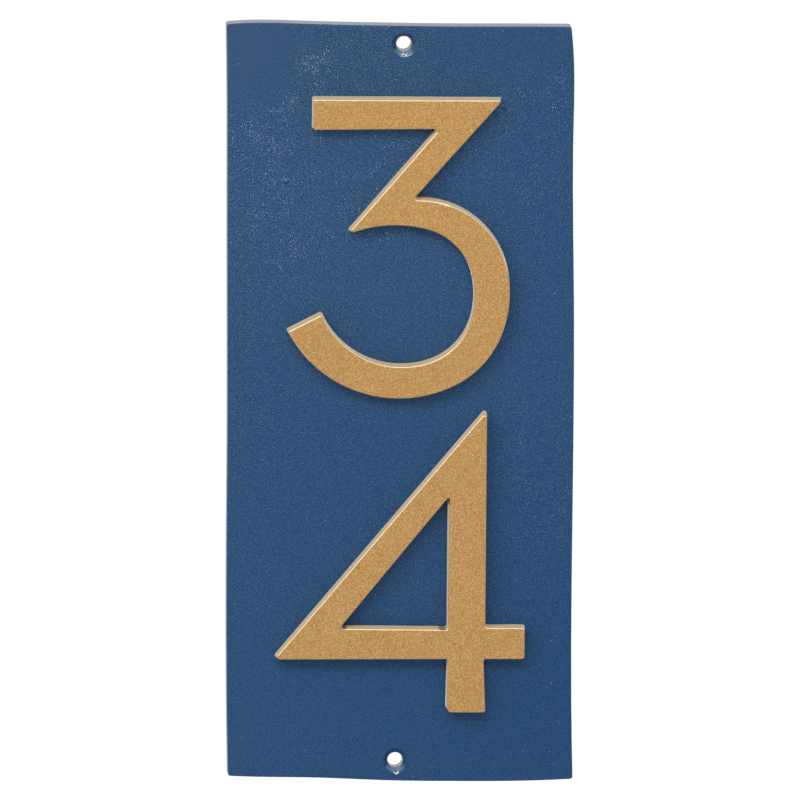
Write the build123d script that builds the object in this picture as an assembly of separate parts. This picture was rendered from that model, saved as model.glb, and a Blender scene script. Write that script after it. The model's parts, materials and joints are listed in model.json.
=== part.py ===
from build123d import *
from math import cos, radians, sin, tan
import os

# Wall plaque: a thin cast plate with the raised numerals 3 and 4, one above the other.
# Millimetres. The face looks along -Y, +Z is up, and the origin is the middle of the flat back.

# Plate
PLATE_T = 6.35
PLATE_DRAFT = 0.5
PLATE_CORNER_R = 0.9
PLATE_EDGE_R = 0.35

# Screw holes, one near each end, countersunk for a No. 8 wood screw
HOLE_D = 5.0
SINK_D = 8.2
SINK_ANGLE = 90
TOP_HOLE = (0.4, 120.55)
BOTTOM_HOLE = (-0.5, -121.0)

# Numerals, 4 in high, cast with draft and a rounded front edge
RELIEF = 6.0
NUMERAL_DRAFT = 2.5
NUMERAL_INNER_R = 0.75
NUMERAL_EDGE_R = 0.5

# Numeral 3, its bowl drawn by arcs that run into one another: (radius, turn in degrees)
THREE_CORNER_R = 0.7
BAR_LEFT = -30.1
BAR_TOP = 103.1
BAR_BOTTOM = 92.35
BAR_TIP = (33.7, 102.8)
NOTCH = (11.75, 92.7)
CROTCH = (3.9, 69.1)
OUTER_HEADING = 3.5
OUTER_ARCS = ((30.5, -85.2), (39.4, -28.3), (32.2, -44.6), (42.2, -88.2))
TERMINAL = (-26.45, 30.6)
INNER_HEADING = -67.0
INNER_ARCS = ((29.0, 84.8), (21.3, 57.8), (28.8, 30.6), (20.8, 58.7), (41.0, 39.7))

# Numeral 4
FOUR_CORNER_R = 0.9
STEM_RIGHT = 29.1
ARM_RIGHT = 42.25
ARM_TOP = -75.1
CROSSBAR_BOTTOM = -86.15
FOOT_BOTTOM = -104.15
APEX = (29.1, -1.4)
LEFT_TIP = (-41.95, -86.3)
TRIANGLE_APEX = (16.2, -31.7)
TRIANGLE_LEFT = (-19.25, -75.35)
TRIANGLE_RIGHT = (16.2, -75.7)

# The face of the plate, on which both numerals sit
FACE = Plane.XZ.offset(PLATE_T)


def standing_edges(solid, inner):
    """The edges that run from the back to the front: those of inner corners, or those of outer ones."""
    middle = solid.bounding_box().center().Y
    return solid.edges().filter_by(lambda e: abs(e.center().Y - middle) < 0.5 and e.is_interior == inner)


def rounded_front(solid, radius):
    """The solid with the edges around its foremost face rounded."""
    front = solid.faces().sort_by(Axis.Y)[0]
    return fillet(front.edges(), radius)


def cast_numeral(outline, corner_radius):
    """A numeral raised from the plate's face: drafted sides, then rounded corners and front edges."""
    block = extrude(outline, RELIEF)
    sides = block.faces().filter_by(lambda f: abs(f.normal_at().Y) < 0.5)
    drafted = draft(sides, FACE, NUMERAL_DRAFT)
    inner = [edge.center() for edge in standing_edges(drafted, True)]
    eased = fillet(standing_edges(drafted, False), corner_radius)
    kept = eased.edges().filter_by(lambda e: any((e.center() - c).length < 0.01 for c in inner))
    return rounded_front(fillet(kept, NUMERAL_INNER_R), NUMERAL_EDGE_R)


def plate_outline(grow):
    """The plate's outline, four slightly wavy hand-made edges, each moved outwards by grow."""
    top_left = (-58.7 - grow, 127.3 + grow)
    top_right = (56.15 + grow, 126.4 + grow)
    bottom_right = (58.65 + grow, -127.25 - grow)
    bottom_left = (-56.15 - grow, -126.25 - grow)
    top = [(x, z + grow) for x, z in ((-47, 127.8), (-30, 127.35), (-5, 126.8), (12, 126.55), (35, 126.5))]
    right = [(x + grow, z) for x, z in ((57, 117), (57.1, 90), (57.7, 38), (57.95, -25), (57.85, -84))]
    bottom = [(x, z - grow) for x, z in ((45, -127.85), (20, -128.05), (-5, -127.7), (-27, -126.85), (-44, -126.65))]
    left = [(x - grow, z) for x, z in ((-56.75, -98), (-57.2, -48), (-57.25, -10), (-57.9, 62), (-58.2, 100))]
    Spline(top_left, *top, top_right)
    Spline(top_right, *right, bottom_right)
    Spline(bottom_right, *bottom, bottom_left)
    Spline(bottom_left, *left, top_left)


def plate_blank():
    """The plate without holes, a little wider at its back than at its face."""
    with BuildPart() as blank:
        with BuildSketch(Plane.XZ):
            with BuildLine():
                plate_outline(PLATE_T * tan(radians(PLATE_DRAFT)))
            make_face()
        with BuildSketch(FACE):
            with BuildLine():
                plate_outline(0)
            make_face()
        loft(ruled=True)
    rounded = fillet(standing_edges(blank.part, False), PLATE_CORNER_R)
    return rounded_front(rounded, PLATE_EDGE_R)


def plate():
    """The plate with its two countersunk screw holes."""
    blank = plate_blank()
    with BuildPart() as drilled:
        add(blank)
        with Locations(FACE):
            with Locations(TOP_HOLE, BOTTOM_HOLE):
                CounterSinkHole(HOLE_D / 2, SINK_D / 2, counter_sink_angle=SINK_ANGLE)
    return drilled.part


def arc_chain(start, heading, arcs):
    """Draws arcs that run on from start without a kink, and gives the point where they end."""
    direction = (cos(radians(heading)), sin(radians(heading)))
    for radius, turn in arcs:
        arc = JernArc(start=start, tangent=direction, radius=radius, arc_size=turn)
        start = arc @ 1
        direction = arc % 1
    return start


def numeral_3():
    """The 3: a flat bar, a straight diagonal and a round open bowl."""
    with BuildSketch(FACE) as three:
        with BuildLine():
            Polyline((BAR_LEFT, BAR_BOTTOM), (BAR_LEFT, BAR_TOP), BAR_TIP, CROTCH)
            outer_end = arc_chain(CROTCH, OUTER_HEADING, OUTER_ARCS)
            Line(outer_end, TERMINAL)
            inner_end = arc_chain(TERMINAL, INNER_HEADING, INNER_ARCS)
            Polyline(inner_end, NOTCH, (BAR_LEFT, BAR_BOTTOM))
        make_face()
    return cast_numeral(three.sketch, THREE_CORNER_R)


def numeral_4():
    """The 4: a long diagonal, a crossbar and a stem around an open triangle."""
    outline = (
        APEX,
        (STEM_RIGHT, ARM_TOP),
        (ARM_RIGHT, ARM_TOP),
        (ARM_RIGHT, CROSSBAR_BOTTOM),
        (28.6, CROSSBAR_BOTTOM),
        (29.35, FOOT_BOTTOM),
        (16.95, FOOT_BOTTOM),
        (15.95, FOOT_BOTTOM + 1.7),
        (16.3, CROSSBAR_BOTTOM),
        LEFT_TIP,
    )
    triangle = (TRIANGLE_APEX, TRIANGLE_LEFT, TRIANGLE_RIGHT)
    with BuildSketch(FACE) as four:
        with BuildLine():
            Polyline(*outline, close=True)
        make_face()
        with BuildLine():
            Polyline(*triangle, close=True)
        make_face(mode=Mode.SUBTRACT)
    return cast_numeral(four.sketch, FOUR_CORNER_R)


os.makedirs("parts", exist_ok=True)
export_step(plate(), "parts/plate.step")
export_step(numeral_3(), "parts/numeral_3.step")
export_step(numeral_4(), "parts/numeral_4.step")
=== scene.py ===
import json
from math import atan, cos, radians, sin, tan

import bpy
from mathutils import Matrix, Vector


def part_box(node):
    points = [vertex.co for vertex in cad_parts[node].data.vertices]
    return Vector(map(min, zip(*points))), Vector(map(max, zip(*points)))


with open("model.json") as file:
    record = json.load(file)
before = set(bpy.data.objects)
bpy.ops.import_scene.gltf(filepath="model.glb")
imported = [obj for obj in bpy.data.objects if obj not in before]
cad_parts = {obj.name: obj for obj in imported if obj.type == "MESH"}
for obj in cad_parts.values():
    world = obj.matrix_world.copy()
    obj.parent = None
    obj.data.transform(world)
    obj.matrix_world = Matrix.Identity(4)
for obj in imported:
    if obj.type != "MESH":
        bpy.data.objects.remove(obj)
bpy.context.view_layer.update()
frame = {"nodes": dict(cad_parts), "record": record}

bl_info = {
    "name": "Wall Plaque",
    "version": (1, 0, 0),
    "blender": (4, 5, 0),
    "location": "View3D > Sidebar > Plaque",
    "description": "Paints a cast wall plaque with raised numerals and sets it in a plain studio",
    "category": "Object",
}

# Places on the plaque, in millimetres in its own frame: +X is to the right of the face, +Z is up
# and -Y is out of the face, so the back is at 0 and everything in front of it is below 0

MM = 1000.0  # to a metre
PLATE_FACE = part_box("numeral_3")[1].y * MM
NUMERAL_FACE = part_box("numeral_3")[0].y * MM
# The screw holes: across, up, radius of the bore
SCREW_HOLES = [(m["pos_m"][0] * MM, m["pos_m"][2] * MM, m["dims"]["r_mm"])
               for m in frame["record"]["mounts"] if m["kind"] == "bore"]

# Depths, outwards or inwards: what a name says is absent at the first one and full at the second
PLATE_SIDES = (PLATE_FACE + 0.25, PLATE_FACE + 0.5)
CLEAR_OF_BACK = (-0.05, -0.2)
CLEAR_OF_BORE = (-4.0, -4.4)
LIGHT_IN_BORE = (-2.2, -3.6)
BEHIND_FRONT = (NUMERAL_FACE + 0.01, NUMERAL_FACE + 0.12)
BEFORE_SIDES = (NUMERAL_FACE + 0.5, NUMERAL_FACE + 0.4)
NUMERAL_SIDES = (NUMERAL_FACE + 0.6, NUMERAL_FACE + 1.0)
DARK_BEHIND_FRONT = (NUMERAL_FACE + 0.02, NUMERAL_FACE + 0.2)
# Heights, in the same way
# Painted light: the coat grows paler upwards over these heights
PAINTED_LIGHT = (-30.0, 40.0)
DULL = (90.0, 122.0)
# Painted glints on the coat's grain grow over these heights
GLINTS_ABOVE = (-30.0, 110.0)
SOME_GLINTS_ABOVE = (-100.0, -60.0)

# Where painted glints on the blue coat gather most, how much at the most, and where there are
# fewer of them:
# across, up, radius, and how much
GLINT_CLUSTERS = ((-30, 111, 7, 1.4), (-26, 105.5, 4, 1.5), (-40, 100, 5, 0.8), (-46, 91, 8, 0.5),
            (-51, 76, 14, 0.4), (50.5, 104, 6, 0.9), (-5, 70, 14, 0.4), (52, -22, 26, 0.4),
            (-50, 0, 12, 0.3), (-38, 57, 13, 0.35))
MOST_GLINTS = 1.6
FEW_GLINTS = ((-52, 118, 16, 0.85), (24, 124, 14, 0.45), (48, 121, 12, 0.4))
# Where a painted sheen lightens the coat: across, up, and the radii at which it begins to fade and
# ends
PAINTED_SHEEN_SPOT = (-57.0, 124.0, 8.0, 34.0)
# Where screw heads have rubbed the countersinks bare: across, up, radius
RUBBED = ((0.0, 117.3, 0.6), (1.1, 117.1, 0.6), (-0.1, -124.9, 0.95))
# Inner corners of the 4, darkened by grime and by painted shade: across, up, radius, how much,
# and how much of that on the front face
DARK_CORNERS = ((16.2, -32.1, 0.6, 1.0, 1.0), (16.0, -33.1, 0.8, 1.0, 1.0),
                 (-18.3, -75.3, 0.95, 1.0, 0.0), (14.6, -75.4, 1.2, 0.9, 0.0))

WHITE = (1.0, 1.0, 1.0, 1.0)


# Sizes and colours

class PlatePaint(bpy.types.PropertyGroup):
    """The blue coat on the plate."""

    coat: bpy.props.FloatVectorProperty(
        name="Coat", description="Colour of the blue coat",
        subtype="COLOR", size=3, min=0, max=1, default=(0.0138, 0.066, 0.181))
    # Painted light: the coat's colour where it is painted paler, towards the top and the left
    painted_light: bpy.props.FloatVectorProperty(
        name="Faded coat", description="Colour of the coat where it has faded",
        subtype="COLOR", size=3, min=0, max=1, default=(0.0245, 0.0815, 0.195))
    dull: bpy.props.FloatVectorProperty(
        name="Dull coat", description="Colour of the coat along the top, where it has gone dull",
        subtype="COLOR", size=3, min=0, max=1, default=(0.024, 0.072, 0.12))
    # Painted sheen: the lighter, greyer coat at the upper left corner
    painted_sheen: bpy.props.FloatVectorProperty(
        name="Chalky coat", description="Colour of the chalky coat at the upper left corner",
        subtype="COLOR", size=3, min=0, max=1, default=(0.049, 0.094, 0.186))
    # Painted sheen: the pale colour painted on the plate's upward-facing edges
    edge: bpy.props.FloatVectorProperty(
        name="Edge", description="Colour of the thin coat on the upper edge",
        subtype="COLOR", size=3, min=0, max=1, default=(0.135, 0.21, 0.3))
    # Also the painted glints on the grain's high spots, and painted light on the countersinks'
    # upward-facing lower halves
    speck: bpy.props.FloatVectorProperty(
        name="Specks", description="Colour of pale specks and of the countersinks' lower halves",
        subtype="COLOR", size=3, min=0, max=1, default=(0.28, 0.41, 0.56))
    # Painted glints scattered over the coat, and the countersinks' scuffed rims, which also carry
    # a painted highlight
    glint_and_wear: bpy.props.FloatVectorProperty(
        name="Flecks", description="Colour of the brightest flecks and of the worn rims",
        subtype="COLOR", size=3, min=0, max=1, default=(0.4, 0.58, 0.8))
    cast: bpy.props.FloatVectorProperty(
        name="Cast metal", description="Colour of the uncoated metal in the screw holes",
        subtype="COLOR", size=3, min=0, max=1, default=(0.25, 0.24, 0.215))
    metal: bpy.props.FloatVectorProperty(
        name="Bare metal", description="Colour of the metal that the screws have rubbed bare",
        subtype="COLOR", size=3, min=0, max=1, default=(0.85, 0.88, 0.9))
    # Painted shade: the near black in the dints of the rubbed metal
    dint_shade: bpy.props.FloatVectorProperty(
        name="Dints", description="Colour of the dark dints in the bare metal",
        subtype="COLOR", size=3, min=0, max=1, default=(0.01, 0.02, 0.04))
    roughness: bpy.props.FloatProperty(
        name="Roughness", description="Roughness of the coat",
        subtype="FACTOR", min=0, max=1, default=0.3)
    grain: bpy.props.FloatProperty(
        name="Grain depth", description="Height of the casting's grain",
        subtype="DISTANCE", unit="LENGTH", min=0, max=0.001, precision=6, default=0.000035)
    # The countersinks' rims are scuffed, with a painted highlight on their lower sides
    sink_width: bpy.props.FloatProperty(
        name="Countersink width", description="Width of the countersinks, whose rims are worn",
        subtype="DISTANCE", unit="LENGTH", min=0, max=0.02, precision=4, default=0.0082)
    speck_width: bpy.props.FloatProperty(
        name="Speck width", description="Usual width of a pale speck",
        subtype="DISTANCE", unit="LENGTH", min=0, max=0.002, precision=5, default=0.00036)


class NumeralPaint(bpy.types.PropertyGroup):
    """The metallic gold paint on the numerals."""

    gold: bpy.props.FloatVectorProperty(
        name="Gold", description="Colour of the gold paint",
        subtype="COLOR", size=3, min=0, max=1, default=(0.475, 0.268, 0.095))
    flake: bpy.props.FloatVectorProperty(
        name="Flake", description="Colour of the brightest flakes",
        subtype="COLOR", size=3, min=0, max=1, default=(0.72, 0.465, 0.2))
    shade: bpy.props.FloatVectorProperty(
        name="Shade", description="Colour between the flakes",
        subtype="COLOR", size=3, min=0, max=1, default=(0.33, 0.167, 0.046))
    # Grime and painted shade darken the inner corners
    dirt_and_shade: bpy.props.FloatVectorProperty(
        name="Dirt", description="Colour of the dirt in the inner corners",
        subtype="COLOR", size=3, min=0, max=1, default=(0.05, 0.02, 0.006))
    # The paler paint down the sides is partly a painted sheen
    side: bpy.props.FloatVectorProperty(
        name="Side", description="Colour of the paint down the sides",
        subtype="COLOR", size=3, min=0, max=1, default=(0.84, 0.62, 0.34))
    # Painted highlight: the colour of the rounded front edge where it faces up
    rim: bpy.props.FloatVectorProperty(
        name="Rim", description="Colour of the rounded front edge where it faces up",
        subtype="COLOR", size=3, min=0, max=1, default=(1.0, 0.88, 0.56))
    sheen: bpy.props.FloatVectorProperty(
        name="Sheen", description="Colour of the sheen on what is seen at a low angle",
        subtype="COLOR", size=3, min=0, max=1, default=(1.0, 0.91, 0.74))
    roughness: bpy.props.FloatProperty(
        name="Roughness", description="Roughness of the gold paint",
        subtype="FACTOR", min=0, max=1, default=0.42)
    grain: bpy.props.FloatProperty(
        name="Grain depth", description="Height of the grain under the gold paint",
        subtype="DISTANCE", unit="LENGTH", min=0, max=0.001, precision=6, default=0.00003)


class Studio(bpy.types.PropertyGroup):
    """The floor, the light and the camera."""

    floor: bpy.props.FloatVectorProperty(
        name="Floor", description="Colour of the floor",
        subtype="COLOR", size=3, min=0, max=1, default=(0.8, 0.8, 0.8))
    drop: bpy.props.FloatProperty(
        name="Floor drop", description="How far the floor is below the middle of the plaque",
        subtype="DISTANCE", unit="LENGTH", min=0.15, max=2, default=0.3)
    reach: bpy.props.FloatProperty(
        name="Floor reach", description="How far the floor goes out from under the plaque",
        subtype="DISTANCE", unit="LENGTH", min=1, max=100, default=20.0)
    lift: bpy.props.FloatProperty(
        name="Floor lift", description="How much of the floor is plain white to the camera",
        subtype="FACTOR", min=0, max=1, default=0.6)
    glow: bpy.props.FloatProperty(
        name="Floor glow", description="Strength of that plain white", min=0, max=5, default=1.42)
    daylight: bpy.props.FloatProperty(
        name="Room light", description="Strength of the even light from all around",
        min=0, max=2, default=0.45)
    lamp: bpy.props.FloatProperty(
        name="Lamp", description="Power of the lamp above and to the left",
        subtype="POWER", unit="POWER", min=0, max=200, default=20.5)
    lamp_place: bpy.props.FloatVectorProperty(
        name="Lamp place", description="Where the middle of the lamp is",
        subtype="TRANSLATION", unit="LENGTH", size=3, default=(-0.45, -1.3, 0.92))
    lamp_width: bpy.props.FloatProperty(
        name="Lamp width", description="Width of the lamp",
        subtype="DISTANCE", unit="LENGTH", min=0.05, max=5, default=2.0)
    lamp_height: bpy.props.FloatProperty(
        name="Lamp height", description="Height of the lamp",
        subtype="DISTANCE", unit="LENGTH", min=0.05, max=5, default=0.6)
    azimuth: bpy.props.FloatProperty(
        name="Azimuth", description="How far the camera stands to the left of the face",
        subtype="ANGLE", unit="ROTATION", default=radians(3.0))
    elevation: bpy.props.FloatProperty(
        name="Elevation", description="How far the camera stands above the face",
        subtype="ANGLE", unit="ROTATION", default=radians(9.5))
    aim: bpy.props.FloatVectorProperty(
        name="Aim", description="The point at the middle of the picture",
        subtype="TRANSLATION", unit="LENGTH", size=3, precision=4, default=(0.0004, 0, -0.0005))
    distance: bpy.props.FloatProperty(
        name="Distance", description="From the camera to the plaque",
        subtype="DISTANCE", unit="LENGTH", min=0.5, max=20, default=3.0)
    width: bpy.props.FloatProperty(
        name="View width", description="Width of the picture at the plaque",
        subtype="DISTANCE", unit="LENGTH", min=0.1, max=2, default=0.26616)


# Node trees

class Term:
    """A socket that Python's operators can work on, each step adding a Math node."""

    def __init__(self, finish, socket):
        self.finish = finish
        self.socket = socket

    def sibling(self, output):
        """Another output of the same node."""
        return Term(self.finish, self.socket.node.outputs[output])

    def math(self, operation, first, second):
        return self.finish.node("ShaderNodeMath", {"operation": operation}, {0: first, 1: second})

    def __add__(self, other):
        return self.math("ADD", self, other)

    def __radd__(self, other):
        return self.math("ADD", other, self)

    def __sub__(self, other):
        return self.math("SUBTRACT", self, other)

    def __rsub__(self, other):
        return self.math("SUBTRACT", other, self)

    def __mul__(self, other):
        return self.math("MULTIPLY", self, other)

    def __rmul__(self, other):
        return self.math("MULTIPLY", other, self)

    def least(self, other):
        return self.math("MINIMUM", self, other)

    def most(self, other):
        return self.math("MAXIMUM", self, other)


class Finish:
    """The node tree of a material or of the world."""

    def __init__(self, owner):
        owner.use_nodes = True
        self.tree = owner.node_tree
        self.tree.nodes.clear()

    def node(self, kind, settings=None, values=None, output=0):
        """A node of that kind: its settings first, then the values or links of its sockets."""
        made = self.tree.nodes.new(kind)
        for name, setting in (settings or {}).items():
            setattr(made, name, setting)
        for name, value in (values or {}).items():
            if isinstance(value, Term):
                self.tree.links.new(value.socket, made.inputs[name])
            else:
                made.inputs[name].default_value = value
        return Term(self, made.outputs[output]) if made.outputs else made


class Paint(Finish):
    """A painted surface: where it is, which way it faces, and the steps that paint is made of."""

    def __init__(self, material):
        super().__init__(material)
        metres = self.node("ShaderNodeTexCoord", output="Object")
        self.place = self.scaled(metres, MM)
        self.x, self.y, self.z = self.axes(self.place)
        self.flat = self.vector("MULTIPLY", self.place, (1.0, 0.0, 1.0))
        self.upward = self.axes(metres.sibling("Normal"))[2]

    def vector(self, operation, first, second, output="Vector"):
        """A Vector Math step on two vectors."""
        settings = {"operation": operation}
        return self.node("ShaderNodeVectorMath", settings, {0: first, 1: second}, output)

    def scaled(self, vector, amount):
        """The same place or colour, each of its parts times a number."""
        values = {0: vector, "Scale": amount}
        return self.node("ShaderNodeVectorMath", {"operation": "SCALE"}, values)

    def axes(self, vector):
        """The three parts of a vector."""
        across = self.node("ShaderNodeSeparateXYZ", values={0: vector}, output="X")
        return across, across.sibling("Y"), across.sibling("Z")

    def noise(self, per_mm, detail, roughness):
        """Soft noise from 0 to 1, with per_mm bumps to the millimetre."""
        values = {"Vector": self.place, "Scale": per_mm, "Detail": detail, "Roughness": roughness}
        return self.node("ShaderNodeTexNoise", {"noise_dimensions": "3D"}, values)

    def dots(self, per_mm):
        """How far the nearest of many scattered points is, and that point's number from 0 to 1."""
        values = {"Vector": self.place, "Scale": per_mm, "Randomness": 1.0}
        gap = self.node("ShaderNodeTexVoronoi", {"feature": "F1"}, values, "Distance")
        return gap, self.node("ShaderNodeSeparateColor", values={0: gap.sibling("Color")})

    def rise(self, value, low, high):
        """0 below low and 1 above high, eased between them. With low above high it falls."""
        values = {"Value": value, "From Min": low, "From Max": high, "To Min": 0.0, "To Max": 1.0}
        return self.node("ShaderNodeMapRange", {"interpolation_type": "SMOOTHSTEP"}, values)

    def span(self, across, up):
        """How far it is to a point on the plate's face."""
        return self.vector("DISTANCE", self.place, (across, PLATE_FACE, up), "Value")

    def spot(self, across, up, inner, outer):
        """1 within inner of a point on the plate's face and 0 beyond outer."""
        return self.rise(self.span(across, up), outer, inner)

    def core(self, across, up, inner, outer):
        """1 within inner of a line that goes straight through the plaque and 0 beyond outer."""
        gap = self.vector("DISTANCE", self.flat, (across, 0.0, up), "Value")
        return self.rise(gap, outer, inner)

    def mix(self, amount, first, second):
        """A colour between two."""
        settings = {"data_type": "RGBA", "blend_type": "MIX"}
        first, second = (c if isinstance(c, Term) else (*c, 1.0) for c in (first, second))
        return self.node("ShaderNodeMix", settings, {0: amount, 6: first, 7: second}, 2)

    def bump(self, height, depth):
        """A normal for heights from 0 to 1 over that depth in metres."""
        values = {"Strength": 1.0, "Distance": depth, "Height": height}
        return self.node("ShaderNodeBump", values=values)

    def surface(self, values):
        """Ends the tree in a Principled surface with those values."""
        shader = self.node("ShaderNodeBsdfPrincipled", values=values)
        self.node("ShaderNodeOutputMaterial", values={"Surface": shader})


def cover(node, material):
    """Puts a material on every face of a CAD node."""
    for slot in frame["nodes"][node].material_slots:
        slot.material = material


# The plate's coat

def lit_coat(f, look, drift):
    """The blue coat: paler towards the top and the left by painted light, dull along the top, and
    lighter at its upper left corner by a painted sheen.
    """
    # Painted light: paler upwards and towards the left, darker to the right
    painted_light = f.rise(drift + f.x * 0.5, *PAINTED_LIGHT) * 0.5 + 0.25 - f.x * 0.005
    coat = f.mix(painted_light, look.coat, look.painted_light)
    coat = f.mix(f.rise(f.z, *DULL) * 0.22, coat, look.dull)
    # Painted sheen: lighter at the upper left corner
    return f.mix(f.spot(*PAINTED_SHEEN_SPOT) * 0.45, coat, look.painted_sheen)


def glint_strength(f, drift, patches):
    """How strong the painted glints and painted shade in the grain are: little at the bottom, more
    at the upper left, most in clusters.
    """
    upper = f.rise(drift - f.x * 0.5, *GLINTS_ABOVE) * (patches * 0.6 + 0.4)
    worn_and_glinting = upper * 0.46 + f.rise(f.z, *SOME_GLINTS_ABOVE) * 0.16 + 0.26
    for across, up, radius, amount in FEW_GLINTS:
        worn_and_glinting = worn_and_glinting * (1 - f.spot(across, up, radius * 0.5, radius * 1.6) * amount)
    for across, up, radius, amount in GLINT_CLUSTERS:
        worn_and_glinting = f.spot(across, up, radius * 0.5, radius * 1.5) * patches * amount + worn_and_glinting
    return worn_and_glinting.least(MOST_GLINTS)


def speckled_coat(f, look, coat, worn_and_glinting, fine):
    """The coat with painted shade in its grain's low spots, painted glints on its high spots and
    scattered as dots, and with rare pale specks.
    """
    # Painted shade in the grain's low spots
    pit_shade = f.rise(fine, 0.52, 0.38) * (worn_and_glinting * 0.5 + 0.42).least(1.0)
    coat = f.mix(pit_shade, coat, f.scaled(coat, 0.25))
    # Painted glints on the grain's high spots
    tip_glints = f.rise(fine, 0.58, 0.7) * (worn_and_glinting * 0.8).least(1.0)
    coat = f.mix(tip_glints, coat, look.speck)

    # Painted glints scattered as dots
    gap, chance = f.dots(per_mm=1.7)
    more = worn_and_glinting * 0.45  # where the painted glints are stronger, more of the dots show
    glints = f.rise(gap, 0.34, 0.14) * f.rise(chance, 1.3 - more, 1.36 - more)
    coat = f.mix(glints * 0.75, coat, look.glint_and_wear)

    per_mm = 0.33
    gap, chance = f.dots(per_mm)
    reach = look.speck_width * MM * per_mm
    specks = f.rise(gap, reach * 0.6, reach * 0.2) * f.rise(chance, 0.7, 0.9)
    return f.mix(specks, coat, look.speck), specks


def lit_and_worn_holes(f, look, coat, grain):
    """The coat at the screw holes: paler by painted light and scuffed with a painted highlight on
    their lower sides, and none in the bores.
    """
    rim = look.sink_width * MM / 2
    for across, up, bore in SCREW_HOLES:
        # Painted light: the countersink is paler where it faces up
        lit_cone = f.spot(across, up, rim - 0.3, rim) * f.rise(f.upward, 0.25, 0.6)
        coat = f.mix(lit_cone * 0.3, coat, look.speck)

        # Scuffed at the lower right of the countersink's rim, and paler there with a painted
        # highlight
        worn_lit_ring = f.rise(f.span(across, up), rim - 0.25, rim - 0.05)
        worn_lit_ring = worn_lit_ring * f.spot(across, up, rim + 0.1, rim + 0.3)
        worn_lit_ring = worn_lit_ring * f.rise(f.z, up - 2.4, up - 3.6) * f.rise(f.x, across - 2.5, across)
        worn_lit_ring = worn_lit_ring * f.rise(grain, 0.34, 0.44)
        rim_wear_and_highlight = 0.7 if up > 0 else 0.1  # the upper hole's rim is the worn one
        coat = f.mix(worn_lit_ring * rim_wear_and_highlight, coat, look.glint_and_wear)

        bare = f.core(across, up, bore + 0.1, bore + 0.25)
        coat = f.mix(bare, coat, f.scaled(look.cast, f.rise(f.y, *LIGHT_IN_BORE)))
    return coat


def rubbed_coat(f, look, coat, fine):
    """The coat where screw heads have rubbed it, near black with painted shade in the dints where
    not bare, and how bare it is there.
    """
    rubbed = 0.0
    for across, up, radius in RUBBED:
        mark = f.core(across, up, radius * 0.75, radius) * f.rise(f.y, *CLEAR_OF_BORE)
        # Painted shade: near black over the mark, left in the dints and wherever the metal is not
        # bare
        coat = f.mix(mark, coat, look.dint_shade)
        dint_shade = f.core(across - 0.2, up + 0.3, radius * 0.3, radius * 0.6)
        rubbed = mark * (1 - dint_shade) * f.rise(fine, 0.45, 0.49) + rubbed
    return f.mix(rubbed, coat, look.metal), rubbed


def plate_material(look):
    """Satin blue coat over a sand casting, with pale specks and bare metal under the screws."""
    material = bpy.data.materials.new("plate_paint")
    f = Paint(material)
    fine = f.noise(per_mm=3.8, detail=1.0, roughness=0.6)
    grain = f.noise(per_mm=1.1, detail=3.0, roughness=0.6)
    clouds = f.noise(per_mm=0.035, detail=3.0, roughness=0.6)
    patches = f.rise(f.noise(per_mm=0.25, detail=3.0, roughness=0.6), 0.4, 0.62)
    drift = f.z + clouds * 20 - 10  # the height, up to 10 mm out here and there

    coat = f.scaled(lit_coat(f, look, drift), grain * 0.7 + 0.65)
    coat, specks = speckled_coat(f, look, coat, glint_strength(f, drift, patches), fine)
    edge = f.rise(f.y, *PLATE_SIDES) * f.rise(f.upward, 0.3, 0.8)
    # Painted sheen on the upward-facing edges
    coat = f.mix(edge * 0.25, coat, look.edge)
    coat = lit_and_worn_holes(f, look, coat, grain)
    coat, rubbed = rubbed_coat(f, look, coat, fine)

    height = fine * 0.6 + grain * 0.4 + specks * 0.4
    f.surface({
        "Base Color": coat,
        "Roughness": look.roughness,
        "Metallic": rubbed * 0.2,
        "Specular IOR Level": 0.13,
        "Normal": f.bump(height, look.grain),
        "Coat Weight": edge * f.rise(f.y, *CLEAR_OF_BACK) * 0.42,
        "Coat Roughness": 0.25,
        "Coat IOR": 1.5,
    })
    return material


# The numerals' paint

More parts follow.
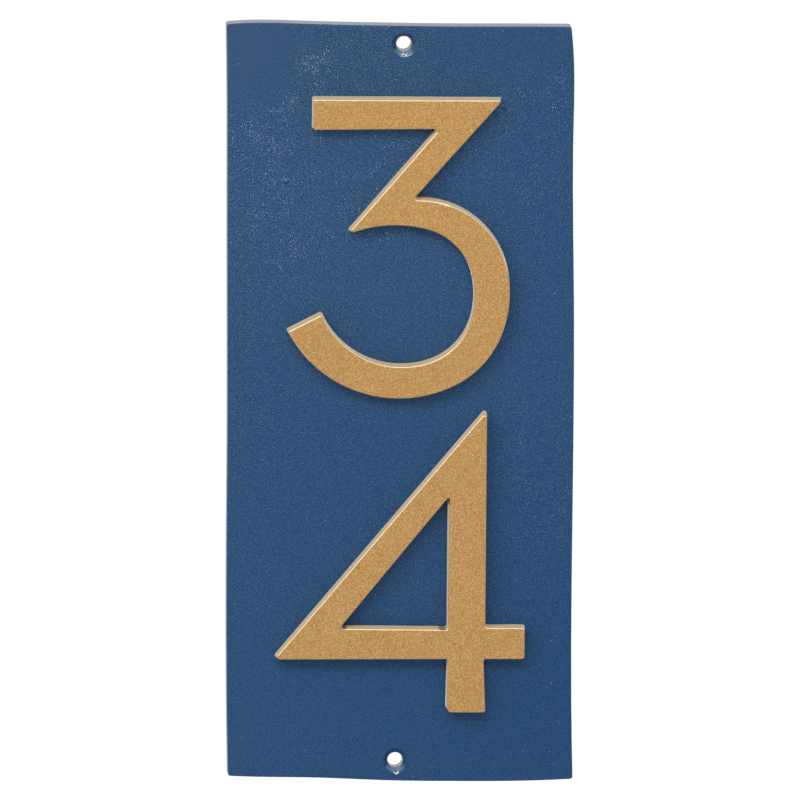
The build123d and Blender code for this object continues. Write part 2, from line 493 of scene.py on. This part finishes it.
def numeral_material(look):
    """Satin metallic gold over a fine grain, paler down the sides with a painted sheen, with a
    painted highlight on the upward-facing front rims, and darkened in inner corners by grime and
    painted shade.
    """
    material = bpy.data.materials.new("numeral_paint")
    f = Paint(material)
    fine = f.noise(per_mm=3.1, detail=2.0, roughness=0.7)
    grain = f.noise(per_mm=0.9, detail=3.0, roughness=0.6)
    clouds = f.noise(per_mm=0.12, detail=3.0, roughness=0.6)

    flakes = fine * 0.85
    gold = f.mix(f.rise(flakes + grain * 0.15, 0.38, 0.52), look.shade, look.gold)
    gold = f.mix(f.rise(flakes + grain * 0.1 + clouds * 0.05, 0.52, 0.66), gold, look.flake)

    rim = f.rise(f.y, *BEHIND_FRONT) * f.rise(f.y, *BEFORE_SIDES)
    # Painted highlight along the rounded front edge where it faces up
    gold = f.mix(rim * f.rise(f.upward, 0.1, 0.5) * 0.95, gold, look.rim)
    # The paler paint down the sides is partly a painted sheen
    side = f.rise(f.y + grain * 0.4, *NUMERAL_SIDES)
    gold = f.mix(side, gold, look.side)

    outside_dark_corners = 1.0
    # Grime and painted shade in the inner corners, where the coat is left off
    for across, up, radius, amount, on_face in DARK_CORNERS:
        dirt_and_shade = f.core(across, up, radius * 0.7, radius * 1.3) * f.rise(fine, 0.3, 0.42)
        dirt_and_shade = dirt_and_shade * f.rise(f.y, *DARK_BEHIND_FRONT).most(on_face) * amount
        gold = f.mix(dirt_and_shade, gold, look.dirt_and_shade)
        outside_dark_corners = (1 - dirt_and_shade) * outside_dark_corners

    height = fine * 0.7 + grain * 0.3
    f.surface({
        "Base Color": gold,
        "Roughness": look.roughness,
        "Metallic": (1 - side) * 0.4,
        "Specular IOR Level": 0.15,
        "Normal": f.bump(height, look.grain),
        "Coat Weight": rim * outside_dark_corners,
        "Coat Roughness": 0.2,
        "Coat IOR": 1.9,
        "Sheen Weight": 1.0,
        "Sheen Roughness": 0.3,
        "Sheen Tint": (*look.sheen, 1.0),
    })
    return material


# Studio

def seen(f):
    """1 for rays from the camera, a mirror or a glass, and 0 for those that light the object."""
    camera = f.node("ShaderNodeLightPath", output="Is Camera Ray")
    return camera.most(camera.sibling("Is Glossy Ray")).most(camera.sibling("Is Transmission Ray"))


def new_object(name, data):
    """An object of its own in the scene."""
    made = bpy.data.objects.new(name, data)
    bpy.context.scene.collection.objects.link(made)
    return made


def add_floor(look):
    """A plain pale floor that the camera sees as white wherever no shadow falls."""
    mesh = bpy.data.meshes.new("floor")
    half = look.reach
    corners = [(-half, -half), (half, -half), (half, half), (-half, half)]
    mesh.from_pydata([(x, y, -look.drop) for x, y in corners], [], [(0, 1, 2, 3)])
    floor = new_object("floor", mesh)
    material = bpy.data.materials.new("floor")
    f = Finish(material)
    pale = f.node("ShaderNodeBsdfDiffuse", values={"Color": (*look.floor, 1.0)})
    white = f.node("ShaderNodeEmission", values={"Color": WHITE, "Strength": look.glow})
    lifted = f.node("ShaderNodeMixShader", values={0: look.lift, 1: pale, 2: white})
    shader = f.node("ShaderNodeMixShader", values={0: seen(f), 1: pale, 2: lifted})
    f.node("ShaderNodeOutputMaterial", values={"Surface": shader})
    mesh.materials.append(material)


def set_world(look):
    """Even light from all around, with a white background."""
    world = bpy.data.worlds.new("studio")
    bpy.context.scene.world = world
    f = Finish(world)
    room = f.node("ShaderNodeBackground", values={"Color": WHITE, "Strength": look.daylight})
    back = f.node("ShaderNodeBackground", values={"Color": WHITE, "Strength": 1.0})
    shader = f.node("ShaderNodeMixShader", values={0: seen(f), 1: room, 2: back})
    f.node("ShaderNodeOutputWorld", values={"Surface": shader})


def add_lamp(look):
    """A wide soft lamp that faces the middle of the plaque."""
    data = bpy.data.lights.new("main_lamp", "AREA")
    data.shape = "RECTANGLE"
    data.size = look.lamp_width
    data.size_y = look.lamp_height
    data.energy = look.lamp
    lamp = new_object("main_lamp", data)
    lamp.location = look.lamp_place
    lamp.rotation_euler = Vector(look.lamp_place).to_track_quat("Z", "Y").to_euler()


def add_camera(look):
    """A view without perspective, a little above and to the left, with the numerals level."""
    a, e = look.azimuth, look.elevation
    roll = atan(tan(a) * sin(e))
    across = Vector((cos(a), -sin(a), 0))
    rise = Vector((sin(a) * sin(e), cos(a) * sin(e), cos(e)))
    back = across.cross(rise)
    right = across * cos(roll) + rise * sin(roll)
    up = rise * cos(roll) - across * sin(roll)
    data = bpy.data.cameras.new("camera")
    data.type = "ORTHO"
    data.ortho_scale = look.width
    camera = new_object("camera", data)
    turn = Matrix((right, up, back)).transposed().to_4x4()
    place = Vector(look.aim) + back * look.distance
    camera.matrix_world = Matrix.Translation(place) @ turn
    bpy.context.scene.camera = camera


# Operators

class PLAQUE_OT_paint_plate(bpy.types.Operator):
    """Coats the plate"""

    bl_idname = "plaque.paint_plate"
    bl_label = "Paint Plate"

    def execute(self, context):
        cover("plate", plate_material(context.scene.plate_paint))
        return {"FINISHED"}


class PLAQUE_OT_paint_numerals(bpy.types.Operator):
    """Gilds both numerals"""

    bl_idname = "plaque.paint_numerals"
    bl_label = "Paint Numerals"

    def execute(self, context):
        material = numeral_material(context.scene.numeral_paint)
        for node in ("numeral_3", "numeral_4"):
            cover(node, material)
        return {"FINISHED"}


class PLAQUE_OT_set_stage(bpy.types.Operator):
    """Sets the floor, the light and the camera"""

    bl_idname = "plaque.set_stage"
    bl_label = "Set Stage"

    def execute(self, context):
        look = context.scene.studio
        add_floor(look)
        set_world(look)
        add_lamp(look)
        add_camera(look)
        context.scene.view_settings.view_transform = "Standard"
        return {"FINISHED"}


class PLAQUE_PT_panel(bpy.types.Panel):
    """Lists the steps that finish the plaque"""

    bl_label = "Wall Plaque"
    bl_idname = "PLAQUE_PT_panel"
    bl_space_type = "VIEW_3D"
    bl_region_type = "UI"
    bl_category = "Plaque"

    def draw(self, context):
        for operator in (PLAQUE_OT_paint_plate, PLAQUE_OT_paint_numerals, PLAQUE_OT_set_stage):
            self.layout.operator(operator.bl_idname)


GROUPS = {"plate_paint": PlatePaint, "numeral_paint": NumeralPaint, "studio": Studio}
CLASSES = (*GROUPS.values(), PLAQUE_OT_paint_plate, PLAQUE_OT_paint_numerals, PLAQUE_OT_set_stage,
           PLAQUE_PT_panel)


def register():
    for cls in CLASSES:
        bpy.utils.register_class(cls)
    for name, group in GROUPS.items():
        setattr(bpy.types.Scene, name, bpy.props.PointerProperty(type=group))


def unregister():
    for name in GROUPS:
        delattr(bpy.types.Scene, name)
    for cls in reversed(CLASSES):
        bpy.utils.unregister_class(cls)


def main():
    register()
    bpy.ops.plaque.paint_plate()
    bpy.ops.plaque.paint_numerals()
    bpy.ops.plaque.set_stage()


if __name__ == "__main__":
    main()
